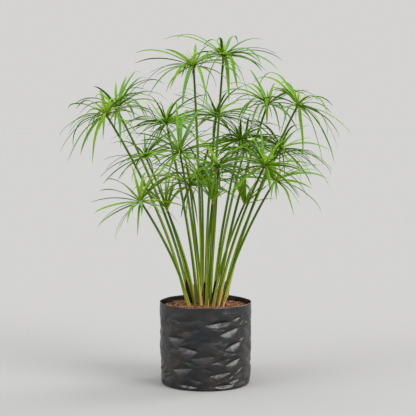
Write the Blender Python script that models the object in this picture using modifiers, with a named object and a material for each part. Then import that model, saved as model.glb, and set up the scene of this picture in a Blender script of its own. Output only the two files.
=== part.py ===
"""Potted umbrella sedge: a clump of leafless stems with umbels of bracts, in a black grow bag.

Metres, +Z up. The origin is the middle of the bag's base and -Y is the side seen from the front.
"""
import math
import random
from typing import NamedTuple

import bmesh
import bpy
from mathutils import Matrix, Vector
from mathutils.bvhtree import BVHTree

MM = 0.001
GAP = 0.3 * MM

# Grow bag
BAG_HEIGHT = 135 * MM
BAG_RIM_RADIUS = 75 * MM
BAG_FOOT_RADIUS = 72.5 * MM
BAG_BASE_RADIUS = 66 * MM
BAG_FILM = 0.8 * MM
BAG_SIDES = 28
BAG_FOOT_HEIGHT = 8 * MM
BAG_DENT_LEVELS = 4
BAG_DENT_TOP = 112 * MM
BAG_DENT_DEPTH = 2.4 * MM

# Potting mix
SOIL_EDGE_HEIGHT = 126 * MM
SOIL_MOUND_HEIGHT = 129 * MM
SOIL_MOUND_RADIUS = 40 * MM
SOIL_LUMP = 0.9 * MM
SOIL_SIDE_CLEARANCE = BAG_DENT_DEPTH + 2 * GAP

# Stems
STEM_FOOT_RADIUS = 3.3 * MM
STEM_LOW_RADIUS = 2.4 * MM
STEM_MIDDLE_RADIUS = 2.1 * MM
STEM_TOP_RADIUS = 1.75 * MM
STEM_UPRIGHT_FOOT = 5 * MM
STEM_BOW = 0.3
STEM_GUARD = 0.9 * MM

# Umbels
HUB_RADIUS = 3.0 * MM
HUB_HEIGHT = 5.0 * MM
BLADE_KEEL = 1.1 * MM
BLADE_GUARD = 0.7 * MM
BLADE_ROOT_SHARE = 0.03
BLADE_NARROW_ROOT = 0.08
BLADE_SWELL_POWER = 0.8
BLADE_ROLL = 50
CHORD_SHARE = 0.9
CONTROL_SHARE = 0.62
TIP_RISE = 26
TIP_RISE_PER_MM = 0.36
TIP_RISE_LIMIT = 70
TIP_LEAST_DEPTH = 6 * MM
HABIT_CONTROL_SHARE = 0.55
HABIT_CHORD_SHARE = 0.98
HABIT_SPREAD = 9
NUDGE_LIFTS = (0.0, 8 * MM, -8 * MM, 16 * MM, -16 * MM)
NUDGE_TURN = math.radians(2.5)
NUDGES = 55

SEED = 17


class Habit(NamedTuple):
    """How an umbel of one age holds its bracts: angles in degrees, lengths in mm.

    The rings are the shares of a bract's way where it has corners, and from the free share on it
    is clear of its neighbours.
    """

    bracts: int
    length: float
    width: float
    upper_rise: float
    lower_rise: float
    bend: float
    free: float
    rings: tuple


ARCHING = Habit(bracts=18, length=108, width=6.4, upper_rise=48, lower_rise=16, bend=78,
                free=0.09, rings=(0.16, 0.46, 0.76))
OPEN = Habit(bracts=15, length=98, width=6.2, upper_rise=52, lower_rise=18, bend=52,
             free=0.09, rings=(0.16, 0.46, 0.76))
YOUNG = Habit(bracts=12, length=64, width=4.6, upper_rise=76, lower_rise=56, bend=14,
              free=0.3, rings=(0.22, 0.62))


class Culm(NamedTuple):
    """One stem with its umbel. Places are in mm: across, away and up.

    The tips are places of bract tips, across and up from the hub. Those in front hang on the near
    side of the umbel and those in back on the far side. The other bracts fill the widest gaps.
    """

    name: str
    foot: tuple
    hub: tuple
    habit: Habit
    front: tuple = ()
    back: tuple = ()


CULMS = (
    Culm("top_right", (5, 3), (29, 15, 534), ARCHING,
         front=((-35, -97), (43, -79), (8, -76), (88, -24), (55, -7), (22, -58)),
         back=((-98, 26), (-73, 34), (67, 28), (90, 2), (100, -10), (-6, 31), (24, 29))),
    Culm("top_left", (-6, -5), (-19, -25, 517), ARCHING,
         front=((-17, -68), (21, -52), (-71, -50), (-36, -39), (-85, -42), (62, -30)),
         back=((-95, 20), (-92, 4), (-85, -11), (31, 36), (60, 24), (78, -4), (-50, 30))),
    Culm("left_outer", (-30, -3), (-156, -45, 439), ARCHING,
         front=((-61, -74), (-36, -61), (-16, -62), (-72, -59), (1, -37)),
         back=((-66, 14), (-78, -29), (-56, 6), (-20, 36))),
    Culm("left_inner", (-23, 9), (-145, 35, 447), ARCHING,
         front=((11, -48), (35, -19), (53, -19), (-33, 37)),
         back=((79, 40), (84, 11), (47, 52), (37, 59), (12, 56), (-8, 47), (-40, 23))),
    Culm("right_outer", (30, 1), (147, -20, 454), ARCHING,
         front=((5, -80), (37, -84), (87, -46), (-32, -47)),
         back=((58, -83), (62, -15), (41, 6), (-71, 35), (-57, 37), (-25, 31), (66, -70))),
    Culm("right_inner", (19, 8), (102, 45, 455), ARCHING,
         front=((-33, -49), (17, -49), (41, -45), (-5, -36), (-46, -23)),
         back=((74, 23), (-29, 60), (16, 35), (-57, -2), (-84, 11), (-66, 31), (-34, 32))),
    Culm("front_left", (-8, -17), (-39, -120, 384), OPEN,
         front=((60, 45), (75, -5), (50, -45), (-20, -50), (-55, -12)),
         back=((-6, 83), (-52, 78), (40, 66))),
    Culm("rear_left_high", (-12, 16), (-66, 95, 422), OPEN,
         back=((9, 36), (-38, 45), (-59, -14), (-62, 1))),
    Culm("rear_middle_high", (2, 23), (18, 130, 433), OPEN),
    Culm("rear_left_low", (-22, 21), (-101, 95, 366), OPEN,
         back=((-77, -9), (-79, -37), (-74, -48), (-5, 39), (-37, 30))),
    Culm("rear_right", (27, 15), (125, 70, 381), OPEN,
         front=((79, -33), (82, -63)),
         back=((57, 16), (90, -41), (30, 26), (15, 26))),
    Culm("middle_right", (12, 13), (58, 60, 395), OPEN),
    Culm("rear_right_inner", (15, 25), (66, 110, 376), OPEN),
    Culm("front_right", (20, -12), (91, -95, 361), OPEN),
    Culm("front_middle", (5, -8), (20, -60, 357), OPEN),
    Culm("rear_middle_low", (-7, 28), (-7, 120, 325), OPEN),
    Culm("middle_left", (-5, 8), (-26, 60, 318), OPEN),
    Culm("right_low", (28, -9), (110, -50, 335), OPEN,
         front=((67, -39), (26, -50))),
    Culm("left_low", (-26, -14), (-101, -70, 303), OPEN,
         front=((-71, -14), (-63, -31)),
         back=((-70, 13), (-60, 30))),
    Culm("young_left", (-17, -8), (-62, -20, 287), YOUNG),
    Culm("young_middle", (3, -19), (11, -75, 305), YOUNG),
    Culm("young_right", (12, -16), (61, -36, 295), YOUNG),
)


def clear_scene():
    """Remove whatever the scene holds."""
    for found in list(bpy.data.objects):
        bpy.data.objects.remove(found, do_unlink=True)


def make_material(name, colour, roughness):
    """Return a plain non-metal material."""
    material = bpy.data.materials.new(name)
    material.use_nodes = True
    shader = material.node_tree.nodes["Principled BSDF"]
    shader.inputs["Base Color"].default_value = (*colour, 1.0)
    shader.inputs["Roughness"].default_value = roughness
    shader.inputs["Metallic"].default_value = 0.0
    return material


def link_mesh(name, built, material, collection):
    """Turn a bmesh into a named object of the collection."""
    mesh = bpy.data.meshes.new(name)
    built.to_mesh(mesh)
    built.free()
    mesh.materials.append(material)
    made = bpy.data.objects.new(name, mesh)
    collection.objects.link(made)
    return made


def turn_profile(profile, sides):
    """Return a bmesh of a profile of (radius, height) points turned about Z."""
    built = bmesh.new()
    line = [built.verts.new((radius, 0.0, height)) for radius, height in profile]
    edges = [built.edges.new(pair) for pair in zip(line, line[1:])]
    bmesh.ops.spin(built, geom=line + edges, cent=(0, 0, 0), axis=(0, 0, 1),
                   angle=math.tau, steps=sides, use_merge=True)
    bmesh.ops.remove_doubles(built, verts=built.verts, dist=0.01 * MM)
    bmesh.ops.recalc_face_normals(built, faces=built.faces)
    return built


def bag_radius(height):
    """Return the radius of the undented bag at a height above its foot."""
    share = (height - BAG_FOOT_HEIGHT) / (BAG_HEIGHT - BAG_FOOT_HEIGHT)
    return BAG_FOOT_RADIUS + (BAG_RIM_RADIUS - BAG_FOOT_RADIUS) * share


def dent_heights():
    """Return the heights of the rings of dents."""
    step = (BAG_DENT_TOP - BAG_FOOT_HEIGHT) / BAG_DENT_LEVELS
    return [BAG_FOOT_HEIGHT + step * (level + 0.5) for level in range(BAG_DENT_LEVELS)]


def make_bag(material, collection):
    """Make the thin crumpled bag, open at the top and flat underneath."""
    chooser = random.Random(SEED)
    wall = [(bag_radius(height), height) for height in dent_heights()]
    profile = [(0.0, 0.0), (BAG_BASE_RADIUS, 0.0), (BAG_FOOT_RADIUS, BAG_FOOT_HEIGHT), *wall,
               (bag_radius(BAG_DENT_TOP), BAG_DENT_TOP), (BAG_RIM_RADIUS, BAG_HEIGHT)]
    built = turn_profile(profile, BAG_SIDES)
    for level, height in enumerate(dent_heights()):
        ring = [vert for vert in built.verts if abs(vert.co.z - height) < 0.1 * MM]
        ring.sort(key=lambda vert: math.atan2(vert.co.y, vert.co.x) % math.tau)
        for side, vert in enumerate(ring):
            depth = BAG_DENT_DEPTH * chooser.uniform(0.5, 1.0) if (side + level) % 2 else 0.0
            outward = Vector((vert.co.x, vert.co.y, 0.0)).normalized()
            vert.co -= outward * depth
    bag = link_mesh("grow_bag", built, material, collection)
    film = bag.modifiers.new("Film", "SOLIDIFY")
    film.thickness = BAG_FILM
    film.offset = -1.0
    return bag


def make_soil(material, collection):
    """Make the potting mix: a lumpy ring round a low flat mound where the stems stand."""
    chooser = random.Random(SEED + 1)
    floor = BAG_FILM + GAP
    edge = bag_radius(SOIL_EDGE_HEIGHT) - BAG_FILM - 2 * GAP
    side = BAG_FOOT_RADIUS - BAG_FILM - SOIL_SIDE_CLEARANCE
    slope = edge - SOIL_MOUND_RADIUS
    profile = [(0.0, SOIL_MOUND_HEIGHT), (SOIL_MOUND_RADIUS, SOIL_MOUND_HEIGHT),
               (SOIL_MOUND_RADIUS + 0.35 * slope, SOIL_EDGE_HEIGHT + 1.6 * MM),
               (SOIL_MOUND_RADIUS + 0.7 * slope, SOIL_EDGE_HEIGHT + 0.6 * MM),
               (edge, SOIL_EDGE_HEIGHT), (side, BAG_DENT_TOP), (side, 2 * BAG_FOOT_HEIGHT),
               (BAG_BASE_RADIUS - 2 * MM, floor), (0.0, floor)]
    built = turn_profile(profile, BAG_SIDES)
    for vert in built.verts:
        reach = math.hypot(vert.co.x, vert.co.y)
        if vert.co.z > BAG_DENT_TOP + MM and reach > SOIL_MOUND_RADIUS + MM:
            vert.co.z += chooser.uniform(-SOIL_LUMP, SOIL_LUMP)
    return link_mesh("soil", built, material, collection)


def bezier(points, share):
    """Return the point of a three-point curve at a share of its way."""
    start, middle, end = points
    return start * (1 - share) ** 2 + middle * (2 * share * (1 - share)) + end * share ** 2


def bezier_direction(points, share):
    """Return the direction of a three-point curve at a share of its way."""
    start, middle, end = points
    return ((middle - start) * (1 - share) + (end - middle) * share).normalized()


def stem_curve(culm):
    """Return the three points of the curve that a stem follows above its upright foot."""
    start = Vector((culm.foot[0] * MM, culm.foot[1] * MM, SOIL_MOUND_HEIGHT + GAP + STEM_UPRIGHT_FOOT))
    end = Vector(culm.hub) * MM
    lean = Vector((end.x - start.x, end.y - start.y, 0.0))
    middle = Vector((start.x, start.y, (start.z + end.z) / 2)) + lean * STEM_BOW
    return start, middle, end


def stem_points(culm):
    """Return the places and radii along a stem, from the potting mix to the umbel."""
    curve = stem_curve(culm)
    foot = curve[0] - Vector((0.0, 0.0, STEM_UPRIGHT_FOOT))
    return ((foot, STEM_FOOT_RADIUS), (curve[0], STEM_FOOT_RADIUS),
            (bezier(curve, 0.3), STEM_LOW_RADIUS), (bezier(curve, 0.65), STEM_MIDDLE_RADIUS),
            (curve[2], STEM_TOP_RADIUS))


def make_stem(culm, material, collection):
    """Make a stem as a filled tube that tapers upwards."""
    points = stem_points(culm)
    curve = bpy.data.curves.new("stem_" + culm.name, "CURVE")
    curve.dimensions = "3D"
    curve.bevel_depth = 1.0
    curve.bevel_resolution = 1
    curve.use_fill_caps = True
    spline = curve.splines.new("POLY")
    spline.points.add(len(points) - 1)
    for target, (place, radius) in zip(spline.points, points):
        target.co = (*place, 1.0)
        target.radius = radius
    curve.materials.append(material)
    made = bpy.data.objects.new("stem_" + culm.name, curve)
    collection.objects.link(made)
    return made


def tube_guard(points):
    """Return the corners and faces of a slightly fatter tube, to keep bracts off a stem."""
    sides = 8
    corners = []
    for index, (place, radius) in enumerate(points):
        before = points[max(index - 1, 0)][0]
        after = points[min(index + 1, len(points) - 1)][0]
        turn = (after - before).to_track_quat("Z", "Y")
        for side in range(sides):
            angle = math.tau * side / sides
            spoke = Vector((math.cos(angle), math.sin(angle), 0.0)) * (radius + STEM_GUARD)
            corners.append(place + turn @ spoke)
    faces = []
    for ring in range(len(points) - 1):
        for side in range(sides):
            low, high = ring * sides + side, ring * sides + (side + 1) % sides
            faces.append((low, high, high + sides, low + sides))
    return corners, faces


def stem_guards():
    """Return one search tree with every stem, as modelled and as its smooth curve."""
    corners, faces = [], []
    for culm in CULMS:
        curve = stem_curve(culm)
        smooth = [(bezier(curve, step / 10), STEM_LOW_RADIUS) for step in range(11)]
        for points in (stem_points(culm), smooth):
            more, joined = tube_guard(points)
            faces += [tuple(index + len(corners) for index in face) for face in joined]
            corners += more
    return BVHTree.FromPolygons(corners, faces)


class Bract(NamedTuple):
    """One bract: the three points of its curve, its heading, its roll and its width."""

    curve: tuple
    heading: float
    roll: float
    width: float


def blade_ring(bract, share, extra=0.0):
    """Return the left edge, keel and right edge of a bract at a share of its way."""
    place = bezier(bract.curve, share)
    ahead = bezier_direction(bract.curve, share)
    level = Vector((-math.sin(bract.heading), math.cos(bract.heading), 0.0))
    level = (level - ahead * level.dot(ahead)).normalized()
    side = Matrix.Rotation(bract.roll * share, 3, ahead) @ level
    upper = ahead.cross(side)
    swell = math.sin(math.pi * (BLADE_NARROW_ROOT + share * (1 - 1.75 * BLADE_NARROW_ROOT))) ** BLADE_SWELL_POWER
    half = bract.width * swell / 2 + extra
    lift = upper * (BLADE_KEEL * 0.4 + extra * 0.5)
    keel = place - upper * (BLADE_KEEL * 0.6 + extra)
    return place - side * half + lift, keel, place + side * half + lift


def blade_guard(bract, shares, extra):
    """Return the corners and faces of a slightly fatter blade, as fat as the hub at its root."""
    corners = []
    for share in shares:
        spare = extra + (HUB_RADIUS / 3 if share == BLADE_ROOT_SHARE else 0.0)
        corners += blade_ring(bract, share, spare)
    corners.append(bract.curve[2] + bezier_direction(bract.curve, 1.0) * extra)
    faces = []
    for ring in range(len(shares) - 1):
        for side in range(3):
            low, high = ring * 3 + side, ring * 3 + (side + 1) % 3
            faces.append((low, high, high + 3, low + 3))
    last = 3 * (len(shares) - 1)
    faces += [(last + side, last + (side + 1) % 3, len(corners) - 1) for side in range(3)]
    return corners, faces


def guard_tree(bracts, shares, extra):
    """Return one search tree with the blades of several bracts."""
    corners, faces = [], []
    for bract in bracts:
        more, joined = blade_guard(bract, shares, extra)
        faces += [tuple(index + len(corners) for index in face) for face in joined]
        corners += more
    return BVHTree.FromPolygons(corners, faces)


def bract_to_tip(hub, lean, tip, near, habit, chooser):
    """Return a bract whose tip stands at a place seen from the front.

    The length of a bract gives how far the tip comes forward, or goes back.
    """
    across, up = tip[0] * MM, tip[1] * MM
    spare = (CHORD_SHARE * habit.length * MM) ** 2 - across ** 2 - up ** 2
    depth = math.sqrt(max(spare, TIP_LEAST_DEPTH ** 2)) * (-1 if near else 1)
    reach = math.hypot(across, depth)
    heading = math.atan2(depth, across)
    ahead = Vector((math.cos(heading), math.sin(heading), 0.0))
    downhill = math.degrees(math.atan(Vector((lean.x, lean.y, 0.0)).dot(ahead) / lean.z))
    rise = math.radians(min(TIP_RISE + TIP_RISE_PER_MM * tip[1] - 0.5 * downhill, TIP_RISE_LIMIT))
    control = ahead * (CONTROL_SHARE * reach) + Vector((0, 0, CONTROL_SHARE * reach * math.tan(rise)))
    end = ahead * reach + Vector((0, 0, up))
    roll = math.radians(chooser.uniform(-BLADE_ROLL, BLADE_ROLL))
    width = habit.width * MM * chooser.uniform(0.85, 1.1)
    return Bract((hub, hub + control, hub + end), heading, roll, width)


def bract_by_habit(hub, lean, heading, upper, habit, chooser):
    """Return a bract that leaves the hub as its habit says and bends down with its length."""
    length = habit.length * MM * chooser.uniform(0.82, 1.04)
    ahead = Vector((math.cos(heading), math.sin(heading), 0.0))
    downhill = math.atan(Vector((lean.x, lean.y, 0.0)).dot(ahead) / lean.z)
    first = habit.upper_rise if upper else habit.lower_rise
    start = math.radians(first + chooser.uniform(-HABIT_SPREAD, HABIT_SPREAD)) - 0.5 * downhill
    finish = start - math.radians(habit.bend * chooser.uniform(0.75, 1.2))
    leave = ahead * math.cos(start) + Vector((0, 0, math.sin(start)))
    arrive = ahead * math.cos(finish) + Vector((0, 0, math.sin(finish)))
    end = (leave + arrive) * (HABIT_CHORD_SHARE / 2 * length)
    roll = math.radians(chooser.uniform(-BLADE_ROLL, BLADE_ROLL))
    width = habit.width * MM * chooser.uniform(0.7, 1.05)
    middle = hub + leave * (HABIT_CONTROL_SHARE * length)
    return Bract((hub, middle, hub + end), heading, roll, width)


def nudged(bract, number):
    """Return the bract with another arch, and turned aside further every few numbers."""
    hub = bract.curve[0]
    step = number // len(NUDGE_LIFTS)
    turn = NUDGE_TURN * ((step + 1) // 2) * (1 if step % 2 else -1)
    spin = Matrix.Rotation(turn, 3, "Z")
    lift = Vector((0, 0, NUDGE_LIFTS[number % len(NUDGE_LIFTS)]))
    middle = hub + spin @ (bract.curve[1] - hub) + lift
    end = hub + spin @ (bract.curve[2] - hub) + lift * 0.1
    return Bract((hub, middle, end), bract.heading + turn, bract.roll, bract.width)


def widest_gap(headings, chooser):
    """Return a heading near the middle of the widest gap between headings."""
    if not headings:
        return chooser.uniform(0, math.tau)
    ordered = sorted(heading % math.tau for heading in headings)
    following = ordered[1:] + [ordered[0] + math.tau]
    gaps = [(after - before, before) for before, after in zip(ordered, following)]
    gap, start = max(gaps)
    return start + gap * chooser.uniform(0.42, 0.58)


def grow_bracts(culm, stems, grown):
    """Return an umbel's bracts, each one moved aside until it is clear of its neighbours."""
    chooser = random.Random(culm.name)
    curve = stem_curve(culm)
    lean = bezier_direction(curve, 1.0)
    hub = curve[2] + lean * (GAP + 0.6 * HUB_HEIGHT)
    habit = culm.habit
    rings = habit.rings
    wanted = [(tip, True) for tip in culm.front] + [(tip, False) for tip in culm.back]
    bracts = []
    attempts = 0
    while len(bracts) < habit.bracts and attempts < 2 * habit.bracts:
        if attempts < len(wanted):
            tip, near = wanted[attempts]
            planned = bract_to_tip(hub, lean, tip, near, habit, chooser)
        else:
            heading = widest_gap([bract.heading for bract in bracts], chooser)
            planned = bract_by_habit(hub, lean, heading, len(bracts) % 2 == 0, habit, chooser)
        attempts += 1
        own = guard_tree(bracts, (habit.free, *rings), 0.0) if bracts else None
        for number in range(NUDGES):
            bract = nudged(planned, number)
            whole = guard_tree([bract], (BLADE_ROOT_SHARE, *rings), BLADE_GUARD)
            if whole.overlap(stems) or any(whole.overlap(other) for other in grown):
                continue
            if own and guard_tree([bract], (habit.free, *rings), BLADE_GUARD).overlap(own):
                continue
            bracts.append(bract)
            break
    return bracts


def face_heading(face):
    """Return the heading of a face seen from the axis."""
    middle = face.calc_center_median()
    return math.atan2(middle.y, middle.x)


def corners_from(face, first):
    """Return a face's corners in order, from a given one."""
    corners = list(face.verts)
    start = corners.index(first)
    return corners[start:] + corners[:start]


def make_umbel(culm, bracts, material, collection):
    """Make an umbel: a low conical hub whose side faces are drawn out into the bracts.

    Returns the search tree of what it fills, which the umbels made after it keep clear of.
    """
    curve = stem_curve(culm)
    lean = bezier_direction(curve, 1.0)
    bracts = sorted(bracts, key=lambda bract: bract.heading % math.tau)
    count = len(bracts)
    step = math.tau / count
    first = sum(bract.heading % math.tau - step * index for index, bract in enumerate(bracts)) / count
    built = bmesh.new()
    bmesh.ops.create_cone(built, cap_ends=True, segments=count, radius1=HUB_RADIUS, radius2=0.0,
                          depth=HUB_HEIGHT, matrix=Matrix.Translation((0, 0, HUB_HEIGHT / 2)))
    centre = max(built.verts, key=lambda vert: vert.co.z)
    turn = Matrix.Rotation(first - face_heading(centre.link_faces[0]), 3, "Z")
    bmesh.ops.rotate(built, verts=built.verts, cent=(0, 0, 0), matrix=turn)
    roots = sorted(centre.link_faces, key=lambda face: (face_heading(face) - first + step / 2) % math.tau)
    starts = [corners_from(face, centre) for face in roots]
    upright = Vector((0, 0, 1)).rotation_difference(lean).to_matrix()
    seat = curve[2] + lean * GAP
    bmesh.ops.transform(built, verts=built.verts, matrix=Matrix.Translation(seat) @ upright.to_4x4())
    for face, start, bract in zip(roots, starts, bracts):
        for share in culm.habit.rings:
            order = [list(face.verts).index(vert) for vert in start]
            face = bmesh.ops.extrude_discrete_faces(built, faces=[face])["faces"][0]
            drawn_corners = list(face.verts)
            start = [drawn_corners[index] for index in order]
            for vert, place in zip(start, blade_ring(bract, share)):
                vert.co = place
        tip = bmesh.ops.poke(built, faces=[face])["verts"][0]
        tip.co = bract.curve[2]
    bmesh.ops.triangulate(built, faces=built.faces)
    filled = BVHTree.FromBMesh(built)
    link_mesh("umbel_" + culm.name, built, material, collection)
    return filled


def main():
    """Build the whole plant in its bag."""
    clear_scene()
    collection = bpy.data.collections.new("Potted umbrella sedge")
    bpy.context.scene.collection.children.link(collection)
    film = make_material("Black polythene", (0.02, 0.02, 0.022), 0.38)
    mix = make_material("Potting mix", (0.16, 0.065, 0.035), 0.95)
    green = make_material("Stem green", (0.10, 0.22, 0.03), 0.5)
    bract_green = make_material("Bract green", (0.12, 0.32, 0.04), 0.5)
    make_bag(film, collection)
    make_soil(mix, collection)
    stems = stem_guards()
    grown = []
    for culm in CULMS:
        make_stem(culm, green, collection)
        bracts = grow_bracts(culm, stems, grown)
        grown.append(make_umbel(culm, bracts, bract_green, collection))


main()
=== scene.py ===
"""Looks of the potted umbrella sedge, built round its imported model.

Metres, +Z up. The origin is the middle of the bag's base and -Y is the side seen from the front.
Every stem and every crown of bracts is refined from the corners of the solid it stands for, so
each piece is where the model has it.
"""
import logging
import math
import random
from collections.abc import Callable, Iterable, Sequence
from dataclasses import dataclass
from enum import Enum

import bmesh
import bpy
import numpy as np
from mathutils import Matrix, Vector, noise


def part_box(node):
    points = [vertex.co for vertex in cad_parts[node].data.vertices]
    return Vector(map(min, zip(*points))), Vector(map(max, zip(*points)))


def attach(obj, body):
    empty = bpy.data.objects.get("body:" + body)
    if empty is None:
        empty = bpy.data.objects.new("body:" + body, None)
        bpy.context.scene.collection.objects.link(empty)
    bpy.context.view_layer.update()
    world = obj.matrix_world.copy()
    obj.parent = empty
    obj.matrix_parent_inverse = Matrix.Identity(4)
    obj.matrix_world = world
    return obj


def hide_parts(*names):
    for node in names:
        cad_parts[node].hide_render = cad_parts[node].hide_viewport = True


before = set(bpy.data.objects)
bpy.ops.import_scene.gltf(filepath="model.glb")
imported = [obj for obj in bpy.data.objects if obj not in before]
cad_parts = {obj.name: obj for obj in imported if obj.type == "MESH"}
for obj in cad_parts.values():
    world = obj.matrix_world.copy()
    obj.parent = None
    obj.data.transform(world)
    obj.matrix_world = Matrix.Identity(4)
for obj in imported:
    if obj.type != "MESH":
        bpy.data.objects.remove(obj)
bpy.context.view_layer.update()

MM = 0.001
WELD = 0.01 * MM
UP = Vector((0.0, 0.0, 1.0))
GOLDEN = 0.618
LOG = logging.getLogger("umbrella_sedge")

Colour = tuple[float, float, float]
Span = tuple[float, float]
Socket = bpy.types.NodeSocket


def smooth(value: float, low: float, high: float) -> float:
    """Return 0 below low, 1 above high and an eased share between them."""
    share = min(max((value - low) / (high - low), 0.0), 1.0)
    return share * share * (3.0 - 2.0 * share)


def heading_vector(heading: float, rise: float = 0.0) -> Vector:
    """Return the unit direction with a heading about Z and a rise above the level, in radians."""
    level = math.cos(rise)
    return Vector((math.cos(heading) * level, math.sin(heading) * level, math.sin(rise)))


def ring_shares(rings: int, start: float = 0.0, end: float = 1.0) -> list[float]:
    """Return evenly spread shares, with the first and the last twice to close a skin's ends."""
    return [start, *(start + (end - start) * step / rings for step in range(rings + 1)), end]


class Slot(Enum):
    """The material slots."""

    BAG = "bag_film"
    MIX = "potting_mix"
    STEM = "stem_green"
    BRACT = "bract_green"
    SHEATH = "sheath_brown"
    JOINT = "joint_orange"


class Age(Enum):
    """How far a crown has opened."""

    ARCHING = "arching"
    OPEN = "open"
    YOUNG = "young"


@dataclass
class Station:
    """One cross-section of a skin: its place, its two directions and its share of the way."""

    centre: Vector
    side: Vector
    face: Vector
    along: float


@dataclass
class Spot:
    """A point of a cross-section, and what the finishes read there."""

    x: float
    y: float
    across: float
    upper: float


class Path:
    """A smooth line through a few points, with shares of its way from 0 to 1."""

    STEP = 0.004

    def __init__(self, points: Sequence[Vector]) -> None:
        """Set up the line.

        Args:
            points: The places it passes through, at least three.
        """
        self.points = [Vector(point) for point in points]
        steps = [(after - before).length for before, after in zip(self.points, self.points[1:])]
        self.length = sum(steps)
        self.knots = [0.0]
        for step in steps:
            self.knots.append(self.knots[-1] + step / self.length)
        self.slopes = self._slopes()

    def _slopes(self) -> list[Vector]:
        """Work out the rate of change at every point, from the parabolas through its neighbours.

        Returns:
            A slope for each point.
        """
        widths = [after - before for before, after in zip(self.knots, self.knots[1:])]
        chords = [(after - before) / width
                  for before, after, width in zip(self.points, self.points[1:], widths)]
        middle = [(chords[i] * widths[i + 1] + chords[i + 1] * widths[i]) / (widths[i] + widths[i + 1])
                  for i in range(len(chords) - 1)]
        return [chords[0] * 2 - middle[0], *middle, chords[-1] * 2 - middle[-1]]

    def stretch(self, share: float) -> tuple[int, float, float]:
        """Find the stretch between two points that a share of the way falls in.

        Args:
            share: The share of the whole way.

        Returns:
            The number of its first point, its length as a share, and the share along it.
        """
        index = max(i for i in range(len(self.knots) - 1) if i == 0 or self.knots[i] <= share)
        width = self.knots[index + 1] - self.knots[index]
        return index, width, (share - self.knots[index]) / width

    def place(self, share: float) -> Vector:
        """Work out the point at a share of the way.

        Args:
            share: The share of the whole way.

        Returns:
            The point, on the cubic between its neighbours.
        """
        index, width, s = self.stretch(share)
        start, end = self.points[index], self.points[index + 1]
        leave, arrive = self.slopes[index] * width, self.slopes[index + 1] * width
        return (start * (2 * s**3 - 3 * s**2 + 1) + leave * (s**3 - 2 * s**2 + s)
                + end * (3 * s**2 - 2 * s**3) + arrive * (s**3 - s**2))

    def ahead(self, share: float) -> Vector:
        """Return the direction at a share of the way."""
        before, after = max(share - self.STEP, 0.0), min(share + self.STEP, 1.0)
        return (self.place(after) - self.place(before)).normalized()

    def stations(self, shares: Sequence[float], side: Callable[[float], Vector]) -> list[Station]:
        """Set up cross-sections square to the line.

        Args:
            shares: Their shares of the way.
            side: Gives the rough side direction at a share.

        Returns:
            A station for each share.
        """
        found = []
        for share in shares:
            ahead = self.ahead(share)
            level = side(share)
            level = (level - ahead * level.dot(ahead)).normalized()
            found.append(Station(self.place(share), level, ahead.cross(level), share))
        return found


class Tissue:
    """Collects the closed skins of one plant piece in a bmesh."""

    MERGE = 0.004 * MM
    LAYERS = ("along", "across", "upper", "tint")
    RIM = 0.999

    def __init__(self) -> None:
        """Start with no skin."""
        self.built = bmesh.new()
        self.layers = {name: self.built.verts.layers.float.new(name) for name in self.LAYERS}

    def wrap(self, stations: Sequence[Station], sides: int, section: Callable[[int, float], Spot],
             tint: float) -> None:
        """Wrap a grid into a closed skin round a row of stations.

        Args:
            stations: The cross-sections in order. The first and last close the skin.
            sides: How many faces go round it.
            section: Gives the spot for a station's number and a share of the way round.
            tint: The skin's own shade from 0 to 1.
        """
        last = len(stations) - 1
        made = bmesh.ops.create_grid(self.built, x_segments=last, y_segments=sides, size=0.5)["verts"]
        for vert in made:
            index = round((vert.co.x + 0.5) * last)
            spot = section(index, vert.co.y + 0.5)
            station = stations[index]
            vert.co = station.centre + station.side * spot.x + station.face * spot.y
            for name, value in zip(self.LAYERS, (station.along, spot.across, spot.upper, tint)):
                vert[self.layers[name]] = value
        bmesh.ops.remove_doubles(self.built, verts=made, dist=self.MERGE)

    def add_round(self, path: Path, radius: Callable[[float], float], rings: int, sides: int,
                  tint: float, ribs: Callable[[float], float] = lambda angle: 1.0) -> None:
        """Add a round tube with closed ends.

        Args:
            path: Its middle line.
            radius: Gives its radius at a share of the way.
            rings: How many lengths it is divided in.
            sides: How many faces go round it.
            tint: Its own shade.
            ribs: Gives a factor on the radius for an angle.
        """
        across = path.ahead(0.0).orthogonal()
        stations = path.stations(ring_shares(rings), lambda share: across)

        def section(index: int, around: float) -> Spot:
            """Work out a spot of the tube, whose first and last sections are single points.

            Args:
                index: The station's number.
                around: The share of the way round.

            Returns:
                The spot.
            """
            angle = math.tau * around
            x, y = math.cos(angle), math.sin(angle)
            closed = index in (0, len(stations) - 1)
            reach = 0.0 if closed else radius(stations[index].along) * ribs(angle)
            return Spot(reach * x, reach * y, x, y)

        self.wrap(stations, sides, section, tint)

    def finish(self, name: str, material: bpy.types.Material, slot: Slot, crisp: bool = False,
               stands_for: str = "") -> bpy.types.Object:
        """Turn the skins into a piece of the part.

        Args:
            name: The piece's name.
            material: Its finish.
            slot: The slot for that finish.
            crisp: Whether the edges where across is 1 or -1 stay sharp.
            stands_for: The CAD node that the piece replaces, or nothing.

        Returns:
            The piece's object.
        """
        across = self.layers["across"]
        if crisp:
            for edge in self.built.edges:
                edge.smooth = not all(abs(vert[across]) > self.RIM for vert in edge.verts)
        return add_piece(name, self.built, material, slot, stands_for)


def add_piece(name: str, built: bmesh.types.BMesh, material: bpy.types.Material, slot: Slot,
              stands_for: str = "") -> bpy.types.Object:
    """Turn a bmesh into a smooth piece that rides on the root body.

    Args:
        name: The piece's name.
        built: Its closed shape, whose doubles are merged. It is freed here.
        material: Its finish.
        slot: Not used.
        stands_for: The CAD node that the piece replaces, or nothing.

    Returns:
        The piece's object.
    """
    bmesh.ops.recalc_face_normals(built, faces=built.faces)
    for face in built.faces:
        face.smooth = True
    piece = add_object(name, built, material)
    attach(piece, "root")
    if stands_for:
        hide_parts(stands_for)
    return piece


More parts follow.
